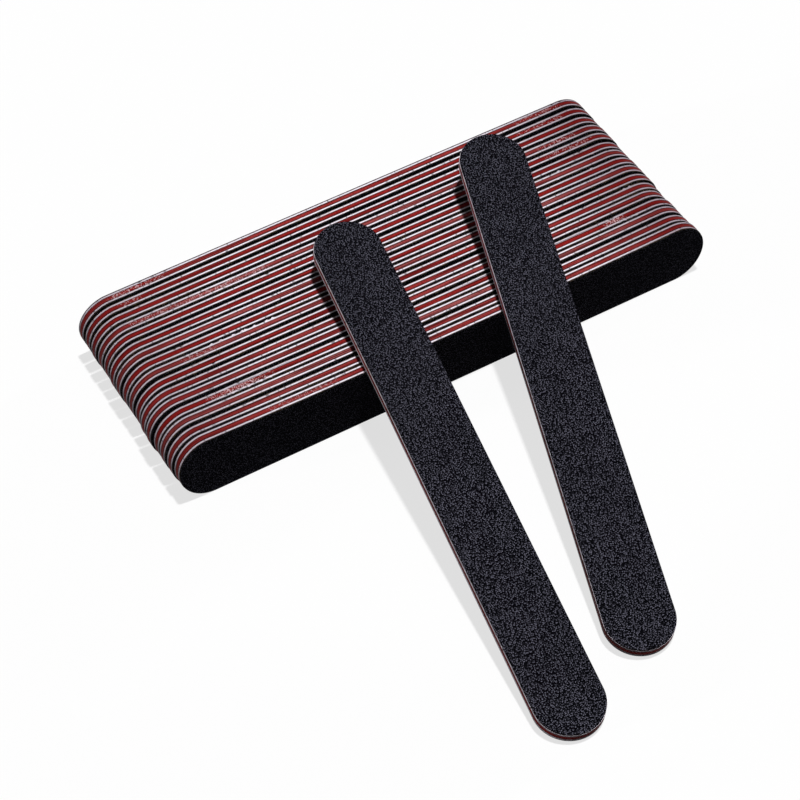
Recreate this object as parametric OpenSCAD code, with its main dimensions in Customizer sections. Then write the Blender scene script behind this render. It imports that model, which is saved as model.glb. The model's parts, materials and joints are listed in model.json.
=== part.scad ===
// A set of emery boards: a row of them standing on their long edges, side by side, and two more
// lying loose across the row, with their upper ends over it and their low ends on the table.
// Every board is a straight strip with round ends, laid up in five layers: a red plastic core,
// a white foam layer on each face of it, and black grit paper outside each foam layer.
// Units are millimetres. X runs along the row's boards, Y goes back through the row, Z is up.
// The origin is the middle of the front board's lower edge, on the table.

/* [Board] */
// Length of a board, over its round ends
board_length = 178; // [120:1:220]
// Width of a board, which is also the width of its round ends
board_width = 20.5; // [14:0.5:30]
// Thickness of the grit paper on each face
paper_thickness = 0.45; // [0.2:0.05:0.8]
// Thickness of the foam layer under each paper
foam_thickness = 0.6; // [0.4:0.05:2]
// Thickness of the core strip in the middle
core_thickness = 1.7; // [0.6:0.05:3]

/* [Row] */
// How many boards stand in the row
row_count = 16; // [4:1:16]
// Narrowest gap between two boards of the row
close_gap = 0.2; // [0.1:0.05:1]
// What each step of looseness adds to a gap in the row
loose_gap = 0.28; // [0:0.02:0.6]
// What each step of misalignment moves a board along the row
end_offset = 0.1; // [0:0.05:0.5]

/* [Left loose board] */
// Where its centre line crosses the row's front edge, from the middle of the row
left_crossing = -18; // [-40:0.5:0]
// Length of it that reaches past the row's front edge
left_reach = 49; // [30:0.5:60]
// Degrees that it is turned from square across the row
left_turn_angle = 7.6; // [0:0.1:14]

/* [Right loose board] */
// Where its centre line crosses the row's front edge, from the middle of the row
right_crossing = 28; // [20:0.5:45]
// Length of it that reaches past the row's front edge
right_reach = 58.5; // [30:0.5:65]
// Degrees that it is turned from square across the row
right_turn_angle = 16.4; // [14:0.1:20]

/* [Clearances] */
// Gap between a loose board and the edge of the row that it lies on
seat_gap = 0.2; // [0.1:0.05:0.5]
// Gap between a loose board's low end and the table
table_gap = 0.2; // [0.1:0.05:0.5]

/* [Hidden] */
$fn = 96;

// Heights of the layers' undersides above a board's lower face, and the whole thickness
lower_foam_z = paper_thickness;
core_z = lower_foam_z + foam_thickness;
upper_foam_z = core_z + core_thickness;
upper_paper_z = upper_foam_z + foam_thickness;
board_thickness = upper_paper_z + paper_thickness;

// Steps of looseness in the gap behind each board, from the front of the row to the back
gap_steps = [0, 2, 0, 2, 0, 2, 1, 0, 1, 0, 2, 1, 1, 2, 2];
// Steps of misalignment of each board, from the front of the row to the back
offset_steps = [0, -4, -5, -4, -8, -6, -1, -1, -1, -3, -3, 0, 0, -2, 0, 0];

// The front board stands over the origin, and the others follow behind it
front_face_y = -board_thickness / 2;
function gap_behind(i) = close_gap + loose_gap * gap_steps[i];
function row_y(i) = i == 0 ? front_face_y : row_y(i - 1) + board_thickness + gap_behind(i - 1);
function row_x(i) = end_offset * offset_steps[i];

// A loose board lies on the row's front edge and tips until the lowest point of its round end
// comes down to the table
function drop_length(reach, turn_angle) =
    (board_length - reach - board_width / 2) * cos(turn_angle) + board_width / 2;
function tilt(reach, turn_angle) =
    asin((board_width + seat_gap - table_gap) / drop_length(reach, turn_angle));

ROW = [for (i = [0 : row_count - 1]) str("row_board_", i + 1)];
LOOSE = ["left_board", "right_board"];
LAYERS = ["_upper_paper", "_upper_foam", "_core", "_lower_foam", "_lower_paper"];

// Outline of every layer: a strip with full round ends, drawn along X about its middle
module board_outline() {
    end_x = (board_length - board_width) / 2;
    square([2 * end_x, board_width], center = true);
    for (side = [-1, 1]) {
        translate([side * end_x, 0])
            circle(d = board_width);
    }
}

module layer(underside, thickness) {
    translate([0, 0, underside])
        linear_extrude(thickness)
            board_outline();
}

// The layers, on a board that lies flat on its lower face
module lower_paper() {
    color([0.13, 0.13, 0.15]) layer(0, paper_thickness);
}

module lower_foam() {
    color([0.87, 0.87, 0.92]) layer(lower_foam_z, foam_thickness);
}

module core() {
    color([0.52, 0.11, 0.11]) layer(core_z, core_thickness);
}

module upper_foam() {
    color([0.87, 0.87, 0.92]) layer(upper_foam_z, foam_thickness);
}

module upper_paper() {
    color([0.13, 0.13, 0.15]) layer(upper_paper_z, paper_thickness);
}

module both_papers() {
    lower_paper();
    upper_paper();
}

module both_foams() {
    lower_foam();
    upper_foam();
}

// Stands a flat board on its long edge in place i of the row, upper face to the front
module stand_in_row(i) {
    translate([row_x(i), row_y(i) + board_thickness, board_width / 2])
        rotate([90, 0, 0])
            children();
}

// Lays a flat board across the row's front edge, turned and tipped down to the table
module lean(crossing, reach, turn_angle) {
    translate([crossing, front_face_y, board_width + seat_gap])
        rotate([tilt(reach, turn_angle), 0, 0])
            rotate([0, 0, 90 - turn_angle])
                translate([reach - board_length / 2, 0, 0])
                    children();
}

module lean_left() {
    lean(left_crossing, left_reach, left_turn_angle) children();
}

module lean_right() {
    lean(right_crossing, right_reach, right_turn_angle) children();
}

for (i = [0 : row_count - 1]) {
    stand_in_row(i) both_papers();
    stand_in_row(i) both_foams();
    stand_in_row(i) core();
}

lean_left() upper_paper();  // left_board_upper_paper
lean_left() upper_foam();  // left_board_upper_foam
lean_left() core();  // left_board_core
lean_left() lower_foam();  // left_board_lower_foam
lean_left() lower_paper();  // left_board_lower_paper

lean_right() upper_paper();  // right_board_upper_paper
lean_right() upper_foam();  // right_board_upper_foam
lean_right() core();  // right_board_core
lean_right() lower_foam();  // right_board_lower_foam
lean_right() lower_paper();  // right_board_lower_paper
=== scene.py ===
"""A set of layered emery boards: a row that stands on its long edges, and two that lie across it."""

import json
import math
import random

import bmesh
import bpy
from bpy.props import FloatProperty, FloatVectorProperty, IntProperty, PointerProperty
from mathutils import Matrix, Vector, noise

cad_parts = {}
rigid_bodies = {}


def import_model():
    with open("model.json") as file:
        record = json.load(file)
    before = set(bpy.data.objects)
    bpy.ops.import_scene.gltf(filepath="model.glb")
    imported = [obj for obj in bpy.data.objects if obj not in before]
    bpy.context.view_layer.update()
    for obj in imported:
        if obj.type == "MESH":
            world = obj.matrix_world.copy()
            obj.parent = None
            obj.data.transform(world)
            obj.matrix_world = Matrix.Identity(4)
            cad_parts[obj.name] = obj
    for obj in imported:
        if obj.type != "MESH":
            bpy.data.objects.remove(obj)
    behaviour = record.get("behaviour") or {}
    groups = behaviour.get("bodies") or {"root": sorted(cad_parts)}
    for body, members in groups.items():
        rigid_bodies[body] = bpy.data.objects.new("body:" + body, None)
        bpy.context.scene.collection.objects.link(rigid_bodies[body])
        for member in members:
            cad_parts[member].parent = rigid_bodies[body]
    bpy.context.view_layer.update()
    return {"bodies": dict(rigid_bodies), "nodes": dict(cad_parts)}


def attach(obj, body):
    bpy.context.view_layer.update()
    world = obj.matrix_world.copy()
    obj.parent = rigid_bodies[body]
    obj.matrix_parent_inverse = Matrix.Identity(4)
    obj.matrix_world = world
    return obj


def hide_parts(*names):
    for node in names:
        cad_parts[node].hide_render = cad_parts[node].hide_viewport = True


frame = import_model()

bl_info = {
    "name": "Emery Boards",
    "version": (1, 0, 0),
    "blender": (4, 5, 0),
    "location": "View3D > Sidebar > Emery Boards",
    "description": "Dresses a set of layered emery boards and sets them on a plain stage",
    "category": "Add Mesh",
}

MM = 0.001
UPPER = 1
LOWER = -1
# Distance that the patterns of one board lie from the next board's, longer than a board
PATTERN_SHIFT = 0.25
# How many points of a flat face's edge each length of it spans
LENGTH_STEP = 10
# Distances from a board's axis, and from its straight edge, at which a point counts as on it
ON_AXIS = 1e-9
ON_EDGE = 1e-7
# Heights of the rings of points on a cut edge: shares of a foam layer's thickness, and of half
# the core's
FOAM_RINGS = (0, 0.16, 0.36, 0.5, 0.64, 0.84, 1)
CORE_RINGS = (-1, -0.74, -0.42, -0.16, 0, 0.16, 0.42, 0.74, 1)

# The grit's grains: how far they stray from an even grid and how far short of the round ends they
# stop, as shares of their spacing, how rare tall ones are, and how many a metre has
GRAIN_STRAY = 0.32
END_SLACK = 0.3
GRAIN_RARITY = 1.6
GRAINS_PER_METRE = 2000
# Height of the bumps that stand for texture finer than the meshes
BUMP_HEIGHT = 0.03 * MM

# The cut edge of a foam layer: how many wanders and how many nicks it has to a metre, the noise at
# which a nick starts, how fast it deepens, and how far apart the noise of two boards lies
FOAM_WANDERS = 900
NICKS_ALONG = 700
NICKS_ACROSS = 90
NICK_START = 0.42
NICK_GROWTH = 5
FOAM_SHIFT = 3.7
# How many times deeper the marked nicks are, and a split is for each length that it opens
MARK_DEEPER = 1.5
SPLIT_DEEPER = 2
# Shares of a foam layer's thickness: the part at each border that painted shade darkens, the part
# where a split shows, and where the outer half starts
SEAM_SHADE_PART = 0.1
SPLIT_START = 0.3
SPLIT_END = 0.55
OUTER_HALF = 0.45

# The cut edge of a core: how many times to a metre it wanders, its groove changes and wanders, and
# its painted dark borders change along and across it, and how far apart the noise of two boards lies
CORE_WANDERS = 1300
GROOVE_CHANGES = 60
GROOVE_WANDERS = 110
BORDER_CHANGES = 90
BORDER_LAYERS = 2000
CORE_SHIFT = 5.3
# How strong the groove and the painted borders are: their middle value and swing, and the groove's
# most
GROOVE_MIDDLE = 0.4
GROOVE_SWING = 0.9
GROOVE_MOST = 0.8
BORDER_MIDDLE = 0.85
BORDER_SWING = 0.5
# Shares of half a core's thickness: the groove's ring, how far it wanders to the sides, and where
# the painted dark borders and their outermost rings start. The outermost rings lie deeper by the
# last length.
GROOVE_RING = 0.05
GROOVE_STRAY = 0.14
BORDER_START = 0.6
OUTER_RING = 0.95
OUTER_DEPTH = 0.05 * MM
# How much of its painted sheen a core loses where the painted shade towards the ends is full
END_SHADE_LOSS = 0.6
# Distances from the middle of the floor between which it whitens into the background
WHITENS_FROM = 0.14
WHITE_FROM = 0.5

# How boards of the row lean: how far the top edge stands back at its left end, in its middle and
# at its right end, in millimetres. The boards between these lean by amounts between theirs.
LEANS = {
    1: (1.5, -0.1, 0.5),
    6: (0.6, -0.4, -0.3),
    11: (0.4, -0.1, -0.45),
    16: (-0.7, -0.2, 0.1),
}
# The board of the row whose two ends bow further to the front, and how far, in millimetres
BOWED_BOARD = 7
END_BOW = 0.4
# The boards of the row whose cores were cut smooth, and how smooth. A smoother core gets more
# painted sheen: a lighter, pinker red.
SHEENED_CORES = {1: 0.4, 2: 0.4, 3: 1.0, 5: 0.4, 6: 0.3, 8: 0.8, 10: 0.7, 13: 0.7, 16: 0.3}

# Where the painted shade towards a row board's ends starts from its middle, and over how far it
# grows, as shares of its length, and what share of it the left ends have. The painted shade
# darkens the ends where the light falls off.
END_SHADE_START = 0.27
END_SHADE_REACH = 0.17
LEFT_END_SHADE = 0.75

# The faces of the row that no other board covers
OUTER_FACES = {("row_board_1", UPPER), ("row_board_16", LOWER)}

# The marks below lie along the top edge of a row board. Their places are in millimetres from its
# middle, towards its right end. Each stretch fades over this share of it at either end.
STRETCH_FADE = 0.22
# Stretches where the die scuffed a core: from, to and how badly
CORE_SCUFFS = {
    "row_board_1": [(-60, -36, 0.3)],
    "row_board_4": [(-72, -50, 0.7), (62, 70, 0.6)],
    "row_board_8": [(-72, -60, 0.3)],
    "row_board_12": [(62, 80, 0.3)],
    "row_board_13": [(-80, -62, 0.35), (-66, -30, 0.5), (62, 76, 0.4)],
    "row_board_15": [(-78, -70, 0.3), (60, 78, 0.25)],
    "row_board_16": [(-80, -60, 0.5), (62, 80, 0.3)],
}
# Stretches where a foam layer split along its middle and stands open: from, to and how far
FOAM_SPLITS = {
    ("row_board_4", LOWER): [(-66, -40, 0.8), (6, 67, 1.0)],
}
# Places where the die nicked a foam layer
FOAM_NICKS = {
    ("row_board_4", UPPER): [-66, -62, -57, -54],
    ("row_board_4", LOWER): [-61, 65, 66],
    ("row_board_6", LOWER): [61],
    ("row_board_7", UPPER): [-64],
    ("row_board_9", LOWER): [-71, -69],
    ("row_board_11", LOWER): [73],
    ("row_board_12", LOWER): [-34],
    ("row_board_16", LOWER): [-68, 77, 80],
}
# Places where foam frayed out over the paper
FOAM_BURRS = {
    ("row_board_4", UPPER): [-64, -59, -55, -52, 67, 69, 71, 73],
    ("row_board_6", LOWER): [76, 78],
    ("row_board_8", LOWER): [-61, -58, -54, -51, -50, -47, -43, -41, 77],
    ("row_board_9", LOWER): [72],
    ("row_board_10", LOWER): [63],
    ("row_board_10", UPPER): [-66, 61],
    ("row_board_11", UPPER): [76],
    ("row_board_14", UPPER): [66],
}


# Settings

class GritSettings(bpy.types.PropertyGroup):
    """Sizes and colours of the grit papers."""

    grain_spacing: FloatProperty(
        name="Grain Spacing",
        description="Distance between grains on the faces that show",
        default=0.40 * MM,
        min=0.2 * MM,
        max=1.0 * MM,
        unit="LENGTH",
        precision=5,
    )
    hidden_spacing: FloatProperty(
        name="Hidden Spacing",
        description="Distance between grains on faces that another board covers",
        default=0.62 * MM,
        min=0.3 * MM,
        max=2.0 * MM,
        unit="LENGTH",
        precision=5,
    )
    relief: FloatProperty(
        name="Relief",
        description="Height of the tallest grains over the paper",
        default=0.06 * MM,
        min=0,
        max=0.2 * MM,
        unit="LENGTH",
        precision=5,
    )
    inset: FloatProperty(
        name="Inset",
        description="How far the paper's edge lies inside the foam's",
        default=0.12 * MM,
        min=0,
        max=0.5 * MM,
        unit="LENGTH",
        precision=5,
    )
    rim_width: FloatProperty(
        name="Rim Width",
        description="Width of the border that the cutting die presses down",
        default=0.45 * MM,
        min=0.1 * MM,
        max=1.0 * MM,
        unit="LENGTH",
        precision=5,
    )
    rim_drop: FloatProperty(
        name="Rim Drop",
        description="How far the die presses the border down",
        default=0.03 * MM,
        min=0,
        max=0.2 * MM,
        unit="LENGTH",
        precision=5,
    )
    grain_color: FloatVectorProperty(
        name="Grain Color",
        description="Colour of the dark grains",
        subtype="COLOR",
        default=(0.0012, 0.0012, 0.0022),
        min=0,
        max=1,
    )
    # Painted glints: the bright faces of grains, painted into the colour
    painted_glint_color: FloatVectorProperty(
        name="Glint Color",
        description="Colour of the bright faces of grains",
        subtype="COLOR",
        default=(0.135, 0.133, 0.175),
        min=0,
        max=1,
    )
    backing_color: FloatVectorProperty(
        name="Backing Color",
        description="Colour of the paper's cut edge",
        subtype="COLOR",
        default=(0.012, 0.010, 0.011),
        min=0,
        max=1,
    )
    fibre_color: FloatVectorProperty(
        name="Fibre Color",
        description="Colour of the paper fibres that show in the cut edge",
        subtype="COLOR",
        default=(0.070, 0.050, 0.026),
        min=0,
        max=1,
    )


class FoamSettings(bpy.types.PropertyGroup):
    """Sizes and colours of the foam layers."""

    edge_step: FloatProperty(
        name="Edge Step",
        description="Distance between points along the cut edge",
        default=0.45 * MM,
        min=0.2 * MM,
        max=2.0 * MM,
        unit="LENGTH",
        precision=5,
    )
    roughness_depth: FloatProperty(
        name="Cut Roughness",
        description="How far the cut edge wanders inwards",
        default=0.05 * MM,
        min=0,
        max=0.2 * MM,
        unit="LENGTH",
        precision=5,
    )
    nick_depth: FloatProperty(
        name="Nick Depth",
        description="How deep the nicks in the cut edge are",
        default=0.22 * MM,
        min=0,
        max=0.5 * MM,
        unit="LENGTH",
        precision=5,
    )
    split_width: FloatProperty(
        name="Split Width",
        description="How far the outer half of a split layer stands off",
        default=0.22 * MM,
        min=0,
        max=0.35 * MM,
        unit="LENGTH",
        precision=5,
    )
    split_depth: FloatProperty(
        name="Split Depth",
        description="How far down from the board's top edge a split reaches",
        default=4.0 * MM,
        min=0.5 * MM,
        max=15.0 * MM,
        unit="LENGTH",
        precision=5,
    )
    burr_size: FloatProperty(
        name="Burr Size",
        description="How far frayed foam lies over the paper's edge",
        default=0.40 * MM,
        min=0,
        max=1.0 * MM,
        unit="LENGTH",
        precision=5,
    )
    burr_lift: FloatProperty(
        name="Burr Lift",
        description="How far frayed foam stands up out of the cut edge",
        default=0.15 * MM,
        min=0,
        max=0.5 * MM,
        unit="LENGTH",
        precision=5,
    )
    mark_width: FloatProperty(
        name="Mark Width",
        description="Half the width of a single nick or burr",
        default=0.60 * MM,
        min=0.2 * MM,
        max=3.0 * MM,
        unit="LENGTH",
        precision=5,
    )
    color: FloatVectorProperty(
        name="Color",
        description="Colour of the foam",
        subtype="COLOR",
        default=(0.92, 0.85, 0.93),
        min=0,
        max=1,
    )
    pore_color: FloatVectorProperty(
        name="Pore Color",
        description="Colour of the foam's pores",
        subtype="COLOR",
        default=(0.56, 0.52, 0.62),
        min=0,
        max=1,
    )
    # Painted shade down in the foam's nicks and splits
    nick_shade_color: FloatVectorProperty(
        name="Nick Color",
        description="Colour down in the foam's nicks and splits",
        subtype="COLOR",
        default=(0.14, 0.12, 0.14),
        min=0,
        max=1,
    )
    stain_color: FloatVectorProperty(
        name="Stain Color",
        description="Colour of foam that the core's red dust has stained",
        subtype="COLOR",
        default=(0.60, 0.40, 0.43),
        min=0,
        max=1,
    )
    # Painted shade: the foam darkens towards a board's ends, where the light falls off
    end_shade_color: FloatVectorProperty(
        name="End Shade Color",
        description="Colour of the foam towards a board's ends, which handling has darkened",
        subtype="COLOR",
        default=(0.34, 0.28, 0.33),
        min=0,
        max=1,
    )
    # Painted shade where the foam's cut edge meets the core and the paper
    seam_shade_color: FloatVectorProperty(
        name="Seam Shade Color",
        description="Colour of the foam's cut edge where it meets the core and the paper",
        subtype="COLOR",
        default=(0.10, 0.06, 0.07),
        min=0,
        max=1,
    )


class CoreSettings(bpy.types.PropertyGroup):
    """Sizes and colours of the plastic cores."""

    edge_step: FloatProperty(
        name="Edge Step",
        description="Distance between points along the cut edge",
        default=0.40 * MM,
        min=0.2 * MM,
        max=2.0 * MM,
        unit="LENGTH",
        precision=5,
    )
    roughness_depth: FloatProperty(
        name="Cut Roughness",
        description="How far the cut edge wanders inwards",
        default=0.05 * MM,
        min=0,
        max=0.2 * MM,
        unit="LENGTH",
        precision=5,
    )
    groove_depth: FloatProperty(
        name="Groove Depth",
        description="Depth of the line where the two cuts of the die meet",
        default=0.12 * MM,
        min=0,
        max=0.4 * MM,
        unit="LENGTH",
        precision=5,
    )
    # Smoothness sets how much painted sheen a core gets
    plain_smoothness: FloatProperty(
        name="Plain Smoothness",
        description="How smooth the cut left a core that isn't one of the smoother ones",
        subtype="FACTOR",
        default=0.1,
        min=0,
        max=1,
    )
    color: FloatVectorProperty(
        name="Color",
        description="Colour of the plastic",
        subtype="COLOR",
        default=(0.320, 0.012, 0.010),
        min=0,
        max=1,
    )
    # Painted sheen: the lighter, pinker red of a smooth cut
    sheen_color: FloatVectorProperty(
        name="Sheen Color",
        description="Colour of the plastic where it was cut smoothly",
        subtype="COLOR",
        default=(0.400, 0.100, 0.098),
        min=0,
        max=1,
    )
    # Colour of the cut's dark marks, and of the painted shade in the groove, on the borders and
    # towards the row's ends
    cut_mark_and_shade_color: FloatVectorProperty(
        name="Groove Color",
        description="Colour down in the groove and in the marks of the cut",
        subtype="COLOR",
        default=(0.040, 0.002, 0.003),
        min=0,
        max=1,
    )
    scuff_color: FloatVectorProperty(
        name="Scuff Color",
        description="Colour of the frayed plastic and foam on a scuff",
        subtype="COLOR",
        default=(0.70, 0.48, 0.50),
        min=0,
        max=1,
    )


class StageSettings(bpy.types.PropertyGroup):
    """The floor, the light and the camera."""

    floor_size: FloatProperty(
        name="Floor Size",
        description="Width of the floor",
        default=6.0,
        min=1.0,
        max=20.0,
        unit="LENGTH",
    )
    floor_color: FloatVectorProperty(
        name="Floor Color",
        description="Colour of the floor",
        subtype="COLOR",
        default=(0.98, 0.98, 0.98),
        min=0,
        max=1,
    )
    bounce_color: FloatVectorProperty(
        name="Bounce Color",
        description="Colour that the floor throws back onto the boards",
        subtype="COLOR",
        default=(0.05, 0.05, 0.05),
        min=0,
        max=1,
    )
    floor_whiteness: FloatProperty(
        name="Floor Whiteness",
        description="How far shadows fade into white on the floor beside the boards",
        subtype="FACTOR",
        default=0.72,
        min=0,
        max=1,
    )
    lamp_turn: FloatProperty(
        name="Lamp Turn",
        description="Direction of the high lamp, round from the front of the row",
        subtype="ANGLE",
        default=math.radians(88),
        min=-math.pi,
        max=math.pi,
    )
    lamp_height: FloatProperty(
        name="Lamp Height",
        description="Angle of the high lamp above the floor",
        subtype="ANGLE",
        default=math.radians(81),
        min=0,
        max=math.pi / 2,
    )
    lamp_strength: FloatProperty(
        name="Lamp Strength",
        description="Light that the high lamp gives",
        default=2.95,
        min=0,
        max=10,
    )
    side_lamp_turn: FloatProperty(
        name="Side Lamp Turn",
        description="Direction of the two low lamps, round from the front to each side",
        subtype="ANGLE",
        default=math.radians(100),
        min=0,
        max=math.pi,
    )
    side_lamp_height: FloatProperty(
        name="Side Lamp Height",
        description="Angle of the low lamps above the floor",
        subtype="ANGLE",
        default=math.radians(6),
        min=0,
        max=math.pi / 2,
    )
    left_lamp_strength: FloatProperty(
        name="Left Lamp Strength",
        description="Light that the low lamp on the left gives",
        default=0.5,
        min=0,
        max=10,
    )
    right_lamp_strength: FloatProperty(
        name="Right Lamp Strength",
        description="Light that the low lamp on the right gives",
        default=0.5,
        min=0,
        max=10,
    )
    lamp_spread: FloatProperty(
        name="Lamp Spread",
        description="Width of the lamps as seen from the boards",
        subtype="ANGLE",
        default=math.radians(4),
        min=0,
        max=math.pi / 4,
    )
    fill_strength: FloatProperty(
        name="Fill Strength",
        description="Even light from all round",
        default=0.035,
        min=0,
        max=2,
    )
    camera_turn: FloatProperty(
        name="Camera Turn",
        description="Direction of the camera, round from the front of the row",
        subtype="ANGLE",
        default=math.radians(-27.783),
        min=-math.pi,
        max=math.pi,
    )
    camera_height: FloatProperty(
        name="Camera Height",
        description="Angle of the camera above the floor",
        subtype="ANGLE",
        default=math.radians(48.914),
        min=-math.pi / 2,
        max=math.pi / 2,
    )
    camera_roll: FloatProperty(
        name="Camera Roll",
        description="Turn of the camera about its own line of sight",
        subtype="ANGLE",
        default=math.radians(-2.926),
        min=-math.pi,
        max=math.pi,
    )
    camera_distance: FloatProperty(
        name="Camera Distance",
        description="Distance from the camera to what it looks at",
        default=0.75667,
        min=0.1,
        max=5.0,
        unit="LENGTH",
        precision=5,
    )
    camera_target: FloatVectorProperty(
        name="Camera Target",
        description="Point that the camera looks at",
        subtype="TRANSLATION",
        default=(-0.01754, -0.00114, 0.00156),
        precision=5,
    )
    lens: FloatProperty(
        name="Lens",
        description="Focal length on a sensor 36 mm wide, in millimetres",
        default=115.95,
        min=20,
        max=300,
    )


class SetSettings(bpy.types.PropertyGroup):
    """All the settings of the set."""

    grit: PointerProperty(type=GritSettings)
    foam: PointerProperty(type=FoamSettings)
    core: PointerProperty(type=CoreSettings)
    stage: PointerProperty(type=StageSettings)
    seed: IntProperty(
        name="Seed",
        description="Start of the random numbers that place grains",
        default=7,
        min=0,
    )


# Boards, read from the frame

class Board:
    """One board of the set: its body, its place and the heights of its layers.

    Its own axes start at its middle: X runs along it, Y across it and Z out of its upper face,
    which is the front face of a board that stands in the row.
    """

    def __init__(self, body, number):
        self.body = body
        self.number = number
        self.in_row = body.startswith("row")
        self.lean = row_lean(number) if self.in_row else (0.0, 0.0, 0.0)
        along, out, middle = core_axes(frame["nodes"][f"{body}_core"])
        across = out.cross(along)
        self.place = Matrix((along, across, out)).transposed().to_4x4()
        self.place.translation = middle
        self.core_half = self.half_height(f"{body}_core")
        self.foam_half = max(self.half_height(n) for n in self.layer_nodes("foam"))
        self.half = max(self.half_height(n) for n in self.layer_nodes("paper"))
        xs, ys = zip(*((p.x, p.y) for p in self.own_points(f"{body}_core")))
        self.length = max(xs) - min(xs)
        self.width = max(ys) - min(ys)
        self.half_straight = (self.length - self.width) / 2

    def own_points(self, node):
        """The points of a node, in the board's own axes."""
        back = self.place.inverted()
        return [back @ v.co for v in frame["nodes"][node].data.vertices]

    def half_height(self, node):
        """How far a node reaches from the board's middle, out of its faces."""
        return max(abs(p.z) for p in self.own_points(node))

    def outward(self, co):
        """Direction out of the round-ended outline at a point, and its distance from the axis."""
        middle_x = clamp(co.x, -self.half_straight, self.half_straight)
        away = Vector((co.x - middle_x, co.y, 0))
        distance = away.length
        if distance < ON_AXIS:
            return Vector((0, 1, 0)), 0.0
        return away / distance, distance

    def layer_nodes(self, layer):
        """The nodes of a layer, with the sides of the core on which each node has a sheet."""
        pair = f"{self.body}_{layer}s"
        if pair in frame["nodes"]:
            return {pair: (UPPER, LOWER)}
        return {
            f"{self.body}_upper_{layer}": (UPPER,),
            f"{self.body}_lower_{layer}": (LOWER,),
        }

    def set_back(self, co):
        """How far a point of the board is set back by the board's lean: least at the foot."""
        left, middle, right = self.lean
        along = 2 * co.x / self.length
        at_top = middle + (right - left) / 2 * along + ((right + left) / 2 - middle) * along ** 2
        return at_top * (0.5 + co.y / self.width)


def clamp(value, low=0.0, high=1.0):
    """The value, kept between low and high."""
    return max(low, min(high, value))


def row_lean(number):
    """How far a row board's top edge is set back at its left end, middle and right end."""
    before = max(n for n in LEANS if n <= number)
    behind = min(n for n in LEANS if n >= number)
    share = (number - before) / max(1, behind - before)
    bow = END_BOW if number == BOWED_BOARD else 0.0
    left, middle, right = (a + (b - a) * share for a, b in zip(LEANS[before], LEANS[behind]))
    return (left - bow) * MM, middle * MM, (right - bow) * MM


def core_axes(core):
    """Direction along a board, direction out of its upper face, and its middle."""
    bm = bmesh.new()
    bm.from_mesh(core.data)
    bmesh.ops.remove_doubles(bm, verts=bm.verts, dist=0.001 * MM)
    rims = [e for e in bm.edges if e.calc_face_angle(0) > math.radians(60)]
    side = max(rims, key=lambda e: e.calc_length())
    along = (side.verts[1].co - side.verts[0].co).normalized()

    def spread(direction):
        heights = [direction.dot(v.co) for v in bm.verts]
        return max(heights) - min(heights)

    def middle(direction):
        heights = [direction.dot(v.co) for v in bm.verts]
        return direction * (max(heights) + min(heights)) / 2

    out = min((f.normal.copy() for f in side.link_faces), key=spread)
    if along.dot((1, 1, 1)) < 0:
        along.negate()
    if out.dot((0, -1, 1)) < 0:
        out.negate()
    centre = middle(along) + middle(out) + middle(out.cross(along))
    bm.free()
    return along, out, centre


def all_boards():
    """The boards of the set: those of the row from the front to the back, then the loose ones."""
    bodies = sorted(frame["bodies"], key=lambda b: (not b.startswith("row"), len(b), b))
    return [Board(body, number) for number, body in enumerate(bodies, 1)]


# Meshes

def unique(items):
    """The items without repeats, in their own order. A set's order differs from run to run."""
    return list(dict.fromkeys(items))


def add_outline(bm, length, width, step, height):
    """One ring of edges: a strip with full round ends, at a height."""
    radius = width / 2
    quarter = max(4, round(math.pi * radius / 2 / step))
    segments = 4 * quarter
    turned = Matrix.Rotation(math.pi / segments, 4, "Z")
    ring = bmesh.ops.create_circle(
        bm, segments=segments, radius=radius, matrix=Matrix.Translation((0, 0, height)) @ turned
    )["verts"]
    for v in ring:
        v.co.x += math.copysign(length / 2 - radius, v.co.x)
    edges = unique(e for v in ring for e in v.link_edges)
    straight = [e for e in edges if e.calc_length() > length / 2]
    rest = [e for e in edges if e not in straight]
    cuts = round((length - width) / step) - 1
    split = bmesh.ops.subdivide_edges(bm, edges=straight, cuts=cuts)["geom_inner"]
    inner = (v for v in split if isinstance(v, bmesh.types.BMVert))
    return rest + unique(e for v in inner for e in v.link_edges)


def add_flat_face(bm, ring):
    """Fills a ring with short lengths of face, which stay smooth when the board leans."""
    face = bmesh.ops.edgeloop_fill(bm, edges=ring)["faces"][0]
    along = sorted(face.verts, key=lambda v: v.co.x)
    pairs = list(zip((v for v in along if v.co.y > 0), (v for v in along if v.co.y < 0)))
    for top, foot in pairs[LENGTH_STEP:-LENGTH_STEP:LENGTH_STEP]:
        cut_off, _ = bmesh.utils.face_split(face, top, foot)
        face = cut_off if along[-1] in cut_off.verts else face


def add_strip(bm, board, step, levels):
    """A closed strip with points on its edge at each of the levels. Returns the edge's points."""
    ring = add_outline(bm, board.length, board.width, step, levels[0])
    add_flat_face(bm, ring)
    points = {v for e in ring for v in e.verts}
    for below, above in zip(levels, levels[1:]):
        grown = bmesh.ops.extrude_edge_only(bm, edges=ring)["geom"]
        ring = [g for g in grown if isinstance(g, bmesh.types.BMEdge) and g.is_boundary]
        lifted = {v for e in ring for v in e.verts}
        bmesh.ops.translate(bm, verts=list(lifted), vec=(0, 0, above - below))
        points |= lifted
        for face in {f for v in lifted for f in v.link_faces}:
            face.smooth = True
    add_flat_face(bm, ring)
    return points


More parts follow.
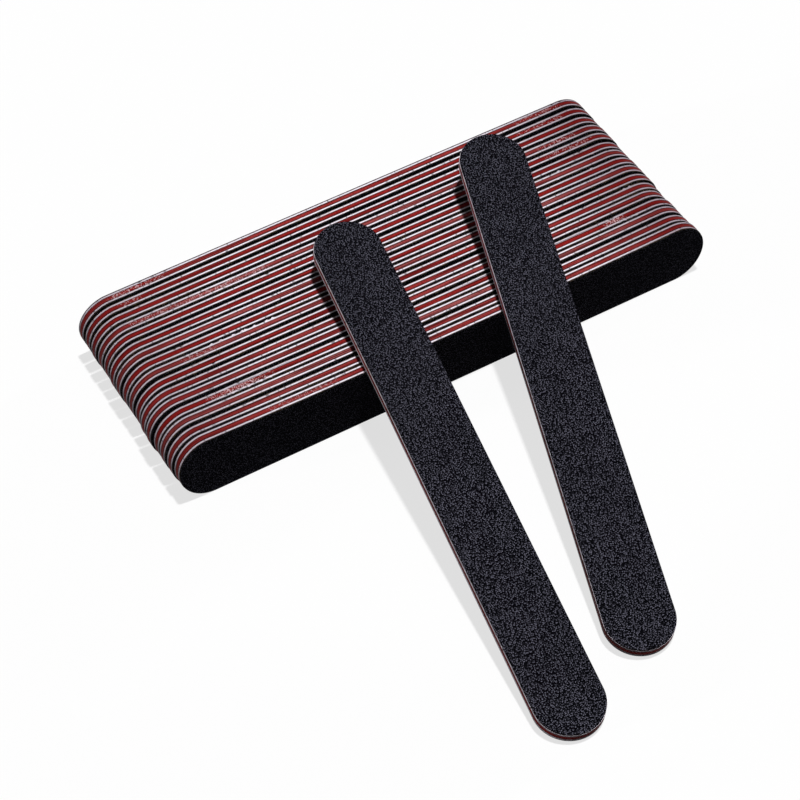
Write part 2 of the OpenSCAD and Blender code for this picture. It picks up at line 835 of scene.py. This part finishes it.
def add_grit_sheet(bm, board, spacing, grit, draw):
    """A grit paper: a face of rough grains over a thin sheet, its outer face up."""
    cut = bm.faces.layers.float["cut"]
    radius = board.width / 2 - grit.inset
    columns = round(board.length / spacing)
    rows = round(board.width / spacing)
    size = Matrix.Diagonal((board.half_straight + radius, radius, 1, 1))
    grid = bmesh.ops.create_grid(
        bm, x_segments=columns, y_segments=rows, size=1, matrix=size
    )["verts"]
    shape = {v: board.outward(v.co) for v in grid}
    at_end = {v: abs(v.co.x) > board.half_straight for v in grid}
    slack = {v: END_SLACK * spacing if at_end[v] else -ON_EDGE for v in grid}
    outside = [v for v in grid if shape[v][1] > radius - slack[v]]
    bmesh.ops.delete(bm, geom=outside, context="VERTS")
    grid = [v for v in grid if v.is_valid]
    stray = [v for v in grid if not v.link_faces]
    bmesh.ops.delete(bm, geom=stray, context="VERTS")
    grid = [v for v in grid if v.is_valid]
    edges = unique(e for v in grid for e in v.link_edges)
    rim = [e for e in edges if e.is_boundary]
    on_rim = {v for e in rim for v in e.verts}
    for v in grid:
        out, distance = shape[v]
        if v in on_rim:
            v.co += out * (radius - distance)
            inset = 0.0
        else:
            v.co.x += draw.uniform(-GRAIN_STRAY, GRAIN_STRAY) * spacing
            v.co.y += draw.uniform(-GRAIN_STRAY, GRAIN_STRAY) * spacing
            inset = radius - board.outward(v.co)[1]
        pressed = max(0.0, 1 - inset / grit.rim_width)
        grain = draw.random() ** GRAIN_RARITY
        v.co.z = board.half - grit.rim_drop * pressed ** 2 - grit.relief * (1 - grain)
    for v in on_rim:
        v.co.z = board.half - grit.rim_drop
    faces = unique(f for v in grid for f in v.link_faces)
    bmesh.ops.triangulate(bm, faces=faces, quad_method="SHORT_EDGE")
    grown = bmesh.ops.extrude_edge_only(bm, edges=rim)["geom"]
    for face in (g for g in grown if isinstance(g, bmesh.types.BMFace)):
        face[cut] = 1.0
    base = [g for g in grown if isinstance(g, bmesh.types.BMEdge) and g.is_boundary]
    for v in {v for e in base for v in e.verts}:
        v.co.z = board.foam_half
    add_flat_face(bm, base)


def finish_piece(bm, name, board, node, material):
    """Makes a shown piece of a board's mesh, and puts it in the place of its node."""
    place_layer = bm.verts.layers.float_vector.new("board_place")
    for v in bm.verts:
        v[place_layer] = v.co + Vector((PATTERN_SHIFT * board.number, 0, 0))
        v.co.z -= board.set_back(v.co)
    bmesh.ops.recalc_face_normals(bm, faces=bm.faces)
    bmesh.ops.transform(bm, matrix=board.place, verts=bm.verts)
    mesh = bpy.data.meshes.new(name)
    bm.to_mesh(mesh)
    bm.free()
    mesh.materials.append(material)
    piece = bpy.data.objects.new(name, mesh)
    bpy.context.scene.collection.objects.link(piece)
    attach(piece, board.body)
    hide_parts(node)


def stretch_weight(x, stretches):
    """How strongly a point lies in any of the stretches, each of which fades at its ends."""
    weight = 0.0
    for start, end, strength in stretches:
        fade = STRETCH_FADE * (end - start) * MM
        inside = min(x - start * MM, end * MM - x) / fade
        weight = max(weight, strength * clamp(inside))
    return weight


def place_weight(x, places, reach):
    """How near a point lies to any of the places: 1 at one, and 0 further off than the reach."""
    return max([0.0, *(1 - abs(x - place * MM) / reach for place in places)])


def end_shade_share(board, co):
    """Painted shade towards the ends: 0 along most of a row board, 1 at its right end."""
    if not board.in_row:
        return 0.0
    past = abs(co.x) - END_SHADE_START * board.length
    share = clamp(past / (END_SHADE_REACH * board.length))
    return share if co.x > 0 else LEFT_END_SHADE * share


def split_gap(board, side, co, foam):
    """How far the outer half of a split foam layer, and the paper on it, stand off at a point."""
    depth = board.width / 2 - co.y
    fade = max(0.0, 1 - depth / foam.split_depth)
    return foam.split_width * fade * stretch_weight(co.x, FOAM_SPLITS.get((board.body, side), []))


# Materials

class Socket:
    """An output of a material's nodes. Sums on it add Math nodes."""

    def __init__(self, finish, output):
        self.finish = finish
        self.output = output

    def math(self, operation, *values):
        """Adds a Math node with an operation on the values."""
        return self.finish.node("Math", {"operation": operation}, dict(enumerate(values)))

    def __add__(self, other):
        return self.math("ADD", self, other)

    def __sub__(self, other):
        return self.math("SUBTRACT", self, other)

    def __rsub__(self, other):
        return self.math("SUBTRACT", other, self)

    def __mul__(self, other):
        return self.math("MULTIPLY", self, other)

    def __gt__(self, other):
        return self.math("GREATER_THAN", self, other)

    __radd__ = __add__
    __rmul__ = __mul__


class Finish:
    """The nodes of a material or of the world, and the ways to add to them."""

    def __init__(self, owner):
        self.owner = owner
        owner.use_nodes = True
        self.tree = owner.node_tree
        self.tree.nodes.clear()

    def node(self, kind, settings=None, inputs=None, output=0):
        """Adds a node, gives it its settings, then its values and links, and returns an output."""
        made = self.tree.nodes.new(f"ShaderNode{kind}")
        for key, value in (settings or {}).items():
            setattr(made, key, value)
        for key, value in (inputs or {}).items():
            if isinstance(value, Socket):
                self.tree.links.new(value.output, made.inputs[key])
            else:
                made.inputs[key].default_value = value
        return Socket(self, made.outputs[output])

    def place(self, scale):
        """Coordinates on a board, from its own middle, each axis times its share of the scale."""
        own = self.node("Attribute", {"attribute_name": "board_place"}, output="Vector")
        return self.node("Mapping", {"vector_type": "POINT"}, {"Vector": own, "Scale": scale})

    def attribute(self, name):
        """A number that the mesh carries at each of its points or faces."""
        return self.node("Attribute", {"attribute_name": name}, output="Fac")

    def noise(self, scale, detail=2.0, roughness=0.5):
        """Soft noise from 0 to 1. The scale is in features per metre, along each of the axes."""
        inputs = {"Vector": self.place(scale), "Scale": 1.0}
        inputs.update({"Detail": detail, "Roughness": roughness})
        return self.node("TexNoise", None, inputs)

    def cells(self, scale, output="Distance", dimensions="3D"):
        """Cells scattered at random. The scale is in cells per metre, along each of the axes."""
        inputs = {"Vector": self.place(scale), "Scale": 1.0}
        return self.node("TexVoronoi", {"voronoi_dimensions": dimensions}, inputs, output)

    def ramp(self, value, low, high, start=0.0, end=1.0):
        """The value between low and high, spread smoothly from start to end."""
        inputs = {"Value": value, "From Min": low, "From Max": high}
        inputs.update({"To Min": start, "To Max": end})
        return self.node("MapRange", {"interpolation_type": "SMOOTHSTEP"}, inputs)

    def mix(self, share, first, second):
        """Two colours mixed: the first where the share is 0, and the second where it is 1."""
        first, second = (c if isinstance(c, Socket) else (*c, 1.0) for c in (first, second))
        return self.node("Mix", {"data_type": "RGBA"}, {0: share, 6: first, 7: second}, 2)

    def surface(self, color, roughness, height, specular):
        """Ends the material in one principled shader with a bump."""
        bump = self.node("Bump", None, {"Height": height, "Distance": BUMP_HEIGHT})
        inputs = {"Base Color": color, "Roughness": roughness, "Normal": bump}
        inputs["Specular IOR Level"] = specular
        return self.end_in(self.node("BsdfPrincipled", None, inputs))

    def shown(self):
        """1 where the camera sees the surface, also in a reflection or through glass."""
        camera = self.node("LightPath", output="Is Camera Ray")
        glossy = self.node("LightPath", output="Is Glossy Ray")
        through = self.node("LightPath", output="Is Transmission Ray")
        return camera.math("MINIMUM", camera + glossy + through, 1.0)

    def end_in(self, shader, kind="OutputMaterial"):
        """Ends the nodes in a shader, and returns what they belong to."""
        made = self.tree.nodes.new(f"ShaderNode{kind}")
        self.tree.links.new(shader.output, made.inputs["Surface"])
        return self.owner


def grit_material(grit):
    """Black grains with painted bluish glints; brown fibres in the paper's cut edge."""
    finish = Finish(bpy.data.materials.new("black_grit"))
    scale = (GRAINS_PER_METRE,) * 3
    grain = finish.node("SeparateColor", None, {"Color": finish.cells(scale, "Color", "2D")})
    # Bright middles of grains and dark gaps between them: painted glints and painted shade
    middle = finish.ramp(finish.cells(scale, "Distance", "2D"), 0.46, 0.20)
    fine = finish.noise((3600,) * 3)
    patch = finish.ramp(finish.noise((40,) * 3), 0.3, 0.7, 0.9, 1.1)
    # Partly random tone of the grains, partly painted glints on them and painted shade between them
    face = finish.mix(grain * middle * patch, grit.grain_color, grit.painted_glint_color)
    tuft = finish.ramp(finish.noise((18,) * 3), 0.42, 0.58)
    fibre = finish.ramp(finish.noise((420, 900, 5000), 3.0), 0.50, 0.62)
    edge = finish.mix(fibre * tuft, grit.backing_color, grit.fibre_color)
    color = finish.mix(finish.attribute("cut"), face, edge)
    roughness = finish.ramp(grain, 0.5, 1.0, 0.60, 0.38)
    height = middle + 0.5 * fine
    return finish.surface(color, roughness, height, specular=0.005)


def foam_material(foam):
    """Pale foam with fine pores, nicks across it, a few stains, and painted shade towards its borders.
    """
    finish = Finish(bpy.data.materials.new("white_foam"))
    pores = finish.ramp(finish.cells((4200,) * 3), 0.0, 0.42)
    nick = finish.ramp(finish.noise((1100, 1100, 300)), 0.58, 0.72, 0.0, 0.8)
    stain = finish.ramp(finish.noise((140, 140, 500), 3.0), 0.56, 0.74, 0.0, 0.32)
    plain = finish.mix(1 - pores, foam.color, foam.pore_color)
    # Painted shade towards the row's ends, where the light falls off
    end_shade = finish.mix(finish.attribute("end_shade") * 0.9, plain, foam.end_shade_color)
    stained = finish.mix(stain, end_shade, foam.stain_color)
    # Painted shade along the foam's borders with the core and the paper
    seam_shaded = finish.mix(finish.attribute("seam_shade") * 0.8, stained, foam.seam_shade_color)
    # Painted shade down in the nicks and splits
    dark = nick.math("MAXIMUM", nick, finish.attribute("nick_shade"))
    color = finish.mix(dark, seam_shaded, foam.nick_shade_color)
    height = pores - 2.0 * nick
    return finish.surface(color, 0.85, height, specular=0.1)


def core_material(core):
    """Red plastic, with fine lines of the cut along it, a speckle and frayed scuffs."""
    finish = Finish(bpy.data.materials.new("red_core"))
    cloud = finish.ramp(finish.noise((60,) * 3), 0.35, 0.65, 0.7, 1.2)
    # Painted sheen where the core was cut smooth
    base = finish.mix(finish.attribute("smooth") * cloud, core.color, core.sheen_color)
    line = finish.ramp(finish.noise((50, 50, 2800), 1.0), 0.46, 0.62, 0.0, 0.7)
    speckle = finish.noise((2600,) * 3, 2.0, 0.7)
    spot = finish.ramp(speckle, 0.52, 0.68, 0.0, 0.7)
    dark = line.math("MAXIMUM", line, spot)
    # Painted shade towards the row's ends darkens the core too
    dark = dark.math("MAXIMUM", dark, finish.attribute("end_shade") * 0.55)
    marked = finish.mix(dark, base, core.cut_mark_and_shade_color)
    # Painted shade down in the groove and along the core's borders
    grooved = finish.mix(finish.attribute("groove"), marked, core.cut_mark_and_shade_color)
    fray = finish.noise((2600, 2600, 1900), 2.0, 0.7)
    scuff = finish.attribute("scuff")
    frayed = finish.ramp(fray + scuff * 0.12, 0.58, 0.66) * (scuff > 0.02)
    color = finish.mix(frayed * (0.4 + 0.6 * scuff), grooved, core.scuff_color)
    height = speckle - line + fray * scuff
    return finish.surface(color, 0.5, height, specular=0.02)


def floor_material(stage):
    """Pale floor that keeps shadows, and whitens into the background away from the boards."""
    finish = Finish(bpy.data.materials.new("pale_floor"))
    own = finish.node("TexCoord", output="Object")
    far = finish.node("VectorMath", {"operation": "LENGTH"}, {0: own}, "Value")
    share = finish.ramp(far, WHITENS_FROM, WHITE_FROM, stage.floor_whiteness, 1.0)
    matt = finish.node("BsdfDiffuse", None, {"Color": (*stage.floor_color, 1.0)})
    dull = finish.node("BsdfDiffuse", None, {"Color": (*stage.bounce_color, 1.0)})
    white = finish.node("Emission", None, {"Color": (1, 1, 1, 1), "Strength": 1.0})
    pale = finish.node("MixShader", None, {0: share, 1: matt, 2: white})
    return finish.end_in(finish.node("MixShader", None, {0: finish.shown(), 1: dull, 2: pale}))


def plain_world(stage):
    """White where the camera sees it, and a weak even light on the boards."""
    finish = Finish(bpy.data.worlds.new("plain_light"))
    fill = finish.node("Background", None, {"Color": (1, 1, 1, 1), "Strength": stage.fill_strength})
    white = finish.node("Background", None, {"Color": (1, 1, 1, 1), "Strength": 1.0})
    both = finish.node("MixShader", None, {0: finish.shown(), 1: fill, 2: white})
    return finish.end_in(both, "OutputWorld")


# Operators

class EMERY_OT_make_grit_papers(bpy.types.Operator):
    """Make the grit papers on both faces of every board."""

    bl_idname = "emery.make_grit_papers"
    bl_label = "Make Grit Papers"

    def execute(self, context):
        settings = context.scene.emery_boards
        grit = settings.grit
        material = grit_material(grit)
        for board in all_boards():
            for node, sides in board.layer_nodes("paper").items():
                draw = random.Random(f"{settings.seed} {node}")
                bm = bmesh.new()
                bm.faces.layers.float.new("cut")
                for side in sides:
                    bare = not board.in_row or (board.body, side) in OUTER_FACES
                    spacing = grit.grain_spacing if bare else grit.hidden_spacing
                    before = set(bm.verts)
                    add_grit_sheet(bm, board, spacing, grit, draw)
                    new = [v for v in bm.verts if v not in before]
                    if side == LOWER:
                        bmesh.ops.rotate(bm, verts=new, matrix=Matrix.Rotation(math.pi, 3, "X"))
                    if (board.body, side) in FOAM_SPLITS:
                        for v in new:
                            v.co.z += side * split_gap(board, side, v.co, settings.foam)
                name = node.replace("paper", "grit_paper")
                finish_piece(bm, name, board, node, material)
        return {"FINISHED"}


class EMERY_OT_make_foam_layers(bpy.types.Operator):
    """Make the foam layers between the core and the papers of every board."""

    bl_idname = "emery.make_foam_layers"
    bl_label = "Make Foam Layers"

    def execute(self, context):
        settings = context.scene.emery_boards
        foam = settings.foam
        material = foam_material(foam)
        for board in all_boards():
            for node, sides in board.layer_nodes("foam").items():
                bm = bmesh.new()
                nick_shade = bm.verts.layers.float.new("nick_shade")
                end_shade = bm.verts.layers.float.new("end_shade")
                seam_shade = bm.verts.layers.float.new("seam_shade")
                for side in sides:
                    low, high = sorted((side * board.core_half, side * board.foam_half))
                    levels = [low + (high - low) * share for share in FOAM_RINGS]
                    points = add_strip(bm, board, foam.edge_step, levels)
                    for v in points:
                        # Painted shade towards the row's ends, where the light falls off
                        v[end_shade] = end_shade_share(board, v.co)
                        # Painted shade along the layer's borders, on the row boards
                        from_border = min(v.co.z - low, high - v.co.z)
                        v[seam_shade] = board.in_row and from_border < SEAM_SHADE_PART * (high - low)
                    self.roughen(points, board, side, foam)
                    self.mark(points, board, side, foam, nick_shade)
                name = node.replace("foam", "foam_layer")
                finish_piece(bm, name, board, node, material)
        return {"FINISHED"}

    def roughen(self, points, board, side, foam):
        """Makes the cut edge wander inwards a little, with small nicks along its middle."""
        thickness = board.foam_half - board.core_half
        middle = side * (board.foam_half + board.core_half) / 2
        shift = Vector((board.number, middle / MM, 0)) * FOAM_SHIFT
        for v in points:
            out, _ = board.outward(v.co)
            wander = 0.5 + 0.5 * noise.noise(v.co * FOAM_WANDERS + shift)
            nick = noise.noise(Vector((v.co.x * NICKS_ALONG, v.co.y * NICKS_ACROSS, 0)) + shift)
            nick = clamp(NICK_GROWTH * (nick - NICK_START))
            inside = abs(v.co.z - middle) < thickness / 3
            v.co -= out * (foam.roughness_depth * wander + foam.nick_depth * nick * inside)

    def mark(self, points, board, side, foam, nick_shade):
        """Adds the splits, nicks and burrs along the board's top edge."""
        layer = (board.body, side)
        nicks = FOAM_NICKS.get(layer, [])
        burrs = FOAM_BURRS.get(layer, [])
        thickness = board.foam_half - board.core_half
        for v in points:
            if v.co.y < board.width / 4:
                continue
            share = (side * v.co.z - board.core_half) / thickness
            nick = place_weight(v.co.x, nicks, foam.mark_width)
            burr = place_weight(v.co.x, burrs, foam.mark_width)
            gap = split_gap(board, side, v.co, foam)
            # Painted shade down in the nicks and splits
            v[nick_shade] = nick
            v.co.y -= MARK_DEEPER * foam.nick_depth * nick
            if SPLIT_START < share < SPLIT_END:
                v.co.y -= SPLIT_DEEPER * gap
                v[nick_shade] = max(nick, gap / foam.split_width)
            if share > OUTER_HALF:
                v.co.z += side * (gap + foam.burr_size * burr)
                v.co.y += foam.burr_lift * burr


class EMERY_OT_make_cores(bpy.types.Operator):
    """Make the plastic core of every board."""

    bl_idname = "emery.make_cores"
    bl_label = "Make Cores"

    def execute(self, context):
        core = context.scene.emery_boards.core
        material = core_material(core)
        for board in all_boards():
            bm = bmesh.new()
            groove = bm.verts.layers.float.new("groove")
            scuff = bm.verts.layers.float.new("scuff")
            smooth = bm.verts.layers.float.new("smooth")
            end_shade = bm.verts.layers.float.new("end_shade")
            levels = [board.core_half * share for share in CORE_RINGS]
            points = add_strip(bm, board, core.edge_step, levels)
            scuffs = CORE_SCUFFS.get(board.body, [])
            # How smooth the cut left the core, which sets its painted sheen
            smoothness = SHEENED_CORES.get(board.number, core.plain_smoothness)
            for v in points:
                # Painted shade towards the row's ends, which also takes away some painted sheen
                v[end_shade] = end_shade_share(board, v.co)
                v[smooth] = smoothness * (1 - END_SHADE_LOSS * v[end_shade])
                v[scuff] = stretch_weight(v.co.x, scuffs) if v.co.y > 0 else 0.0
            self.roughen(points, board, core, scuff, groove)
            name = f"{board.body}_core_strip"
            finish_piece(bm, name, board, f"{board.body}_core", material)
        return {"FINISHED"}

    def roughen(self, points, board, core, scuff, groove):
        """Makes the cut edge wander inwards, with a groove along its middle and painted dark borders.
        """
        half = board.core_half
        shift = Vector((board.number, 0, 0)) * CORE_SHIFT

        def waver(co, per_metre, height):
            return noise.noise(Vector((co.x * per_metre, co.y * per_metre, height)) + shift)

        for v in points:
            out, _ = board.outward(v.co)
            rough = noise.noise(v.co * CORE_WANDERS + shift)
            depth = core.roughness_depth * (0.5 + 0.5 * rough) * (1 + v[scuff])
            if abs(v.co.z) < GROOVE_RING * half:
                change = waver(v.co, GROOVE_CHANGES, 0)
                strength = clamp(GROOVE_MIDDLE + GROOVE_SWING * change, high=GROOVE_MOST)
                depth += core.groove_depth * strength
                # Painted shade down in the groove
                v[groove] = strength
                v.co.z += GROOVE_STRAY * half * waver(v.co, GROOVE_WANDERS, 3)
            # Painted shade along the borders, where the core meets the foam
            if abs(v.co.z) > BORDER_START * half:
                border = waver(v.co, BORDER_CHANGES, BORDER_LAYERS * v.co.z)
                v[groove] = BORDER_MIDDLE + BORDER_SWING * border
            if abs(v.co.z) > OUTER_RING * half:
                depth += OUTER_DEPTH
            v.co -= out * depth


class EMERY_OT_set_stage(bpy.types.Operator):
    """Set the floor, the light and the camera."""

    bl_idname = "emery.set_stage"
    bl_label = "Set Stage"

    def execute(self, context):
        stage = context.scene.emery_boards.stage
        context.scene.view_settings.view_transform = "Standard"
        self.add_floor(context, stage)
        high = direction(stage.lamp_turn, stage.lamp_height)
        left = direction(-stage.side_lamp_turn, stage.side_lamp_height)
        right = direction(stage.side_lamp_turn, stage.side_lamp_height)
        self.add_lamp(context, "high_lamp", stage.lamp_strength, stage.lamp_spread, high)
        self.add_lamp(context, "left_lamp", stage.left_lamp_strength, stage.lamp_spread, left)
        self.add_lamp(context, "right_lamp", stage.right_lamp_strength, stage.lamp_spread, right)
        context.scene.world = plain_world(stage)
        self.add_camera(context, stage)
        return {"FINISHED"}

    def add_floor(self, context, stage):
        """A plain square that the set stands on."""
        bm = bmesh.new()
        bmesh.ops.create_grid(bm, x_segments=1, y_segments=1, size=stage.floor_size / 2)
        mesh = bpy.data.meshes.new("floor")
        bm.to_mesh(mesh)
        bm.free()
        mesh.materials.append(floor_material(stage))
        floor = bpy.data.objects.new("floor", mesh)
        context.scene.collection.objects.link(floor)

    def add_lamp(self, context, name, strength, spread, towards):
        """A distant lamp, in a direction from the boards."""
        lamp = bpy.data.lights.new(name, "SUN")
        lamp.energy = strength
        lamp.angle = spread
        holder = bpy.data.objects.new(name, lamp)
        holder.rotation_euler = towards.to_track_quat("Z", "Y").to_euler()
        context.scene.collection.objects.link(holder)

    def add_camera(self, context, stage):
        """The camera, which looks at its target."""
        data = bpy.data.cameras.new("camera")
        data.lens = stage.lens
        data.sensor_width = 36
        data.clip_start = 0.01
        data.clip_end = 20
        camera = bpy.data.objects.new("camera", data)
        back = direction(stage.camera_turn, stage.camera_height)
        level = Vector((0, 0, 1)).cross(back).normalized()
        steep = back.cross(level)
        turned = Matrix((level, steep, back)).transposed() @ Matrix.Rotation(stage.camera_roll, 3, "Z")
        camera.matrix_world = turned.to_4x4()
        camera.location = Vector(stage.camera_target) + back * stage.camera_distance
        context.scene.collection.objects.link(camera)
        context.scene.camera = camera


def direction(turn, height):
    """Unit vector that points away from the boards, turned round from the front of the row."""
    flat = math.cos(height)
    return Vector((math.sin(turn) * flat, -math.cos(turn) * flat, math.sin(height)))


class VIEW3D_PT_emery_boards(bpy.types.Panel):
    """The steps that dress the boards."""

    bl_label = "Emery Boards"
    bl_space_type = "VIEW_3D"
    bl_region_type = "UI"
    bl_category = "Emery Boards"

    def draw(self, context):
        for operator in OPERATORS:
            self.layout.operator(operator.bl_idname)


SETTINGS = (GritSettings, FoamSettings, CoreSettings, StageSettings, SetSettings)
OPERATORS = (
    EMERY_OT_make_grit_papers,
    EMERY_OT_make_foam_layers,
    EMERY_OT_make_cores,
    EMERY_OT_set_stage,
)


def register():
    for cls in (*SETTINGS, *OPERATORS, VIEW3D_PT_emery_boards):
        bpy.utils.register_class(cls)
    bpy.types.Scene.emery_boards = PointerProperty(type=SetSettings)


def unregister():
    del bpy.types.Scene.emery_boards
    for cls in reversed((*SETTINGS, *OPERATORS, VIEW3D_PT_emery_boards)):
        bpy.utils.unregister_class(cls)


def main():
    register()
    bpy.ops.emery.make_grit_papers()
    bpy.ops.emery.make_foam_layers()
    bpy.ops.emery.make_cores()
    bpy.ops.emery.set_stage()


if __name__ == "__main__":
    main()
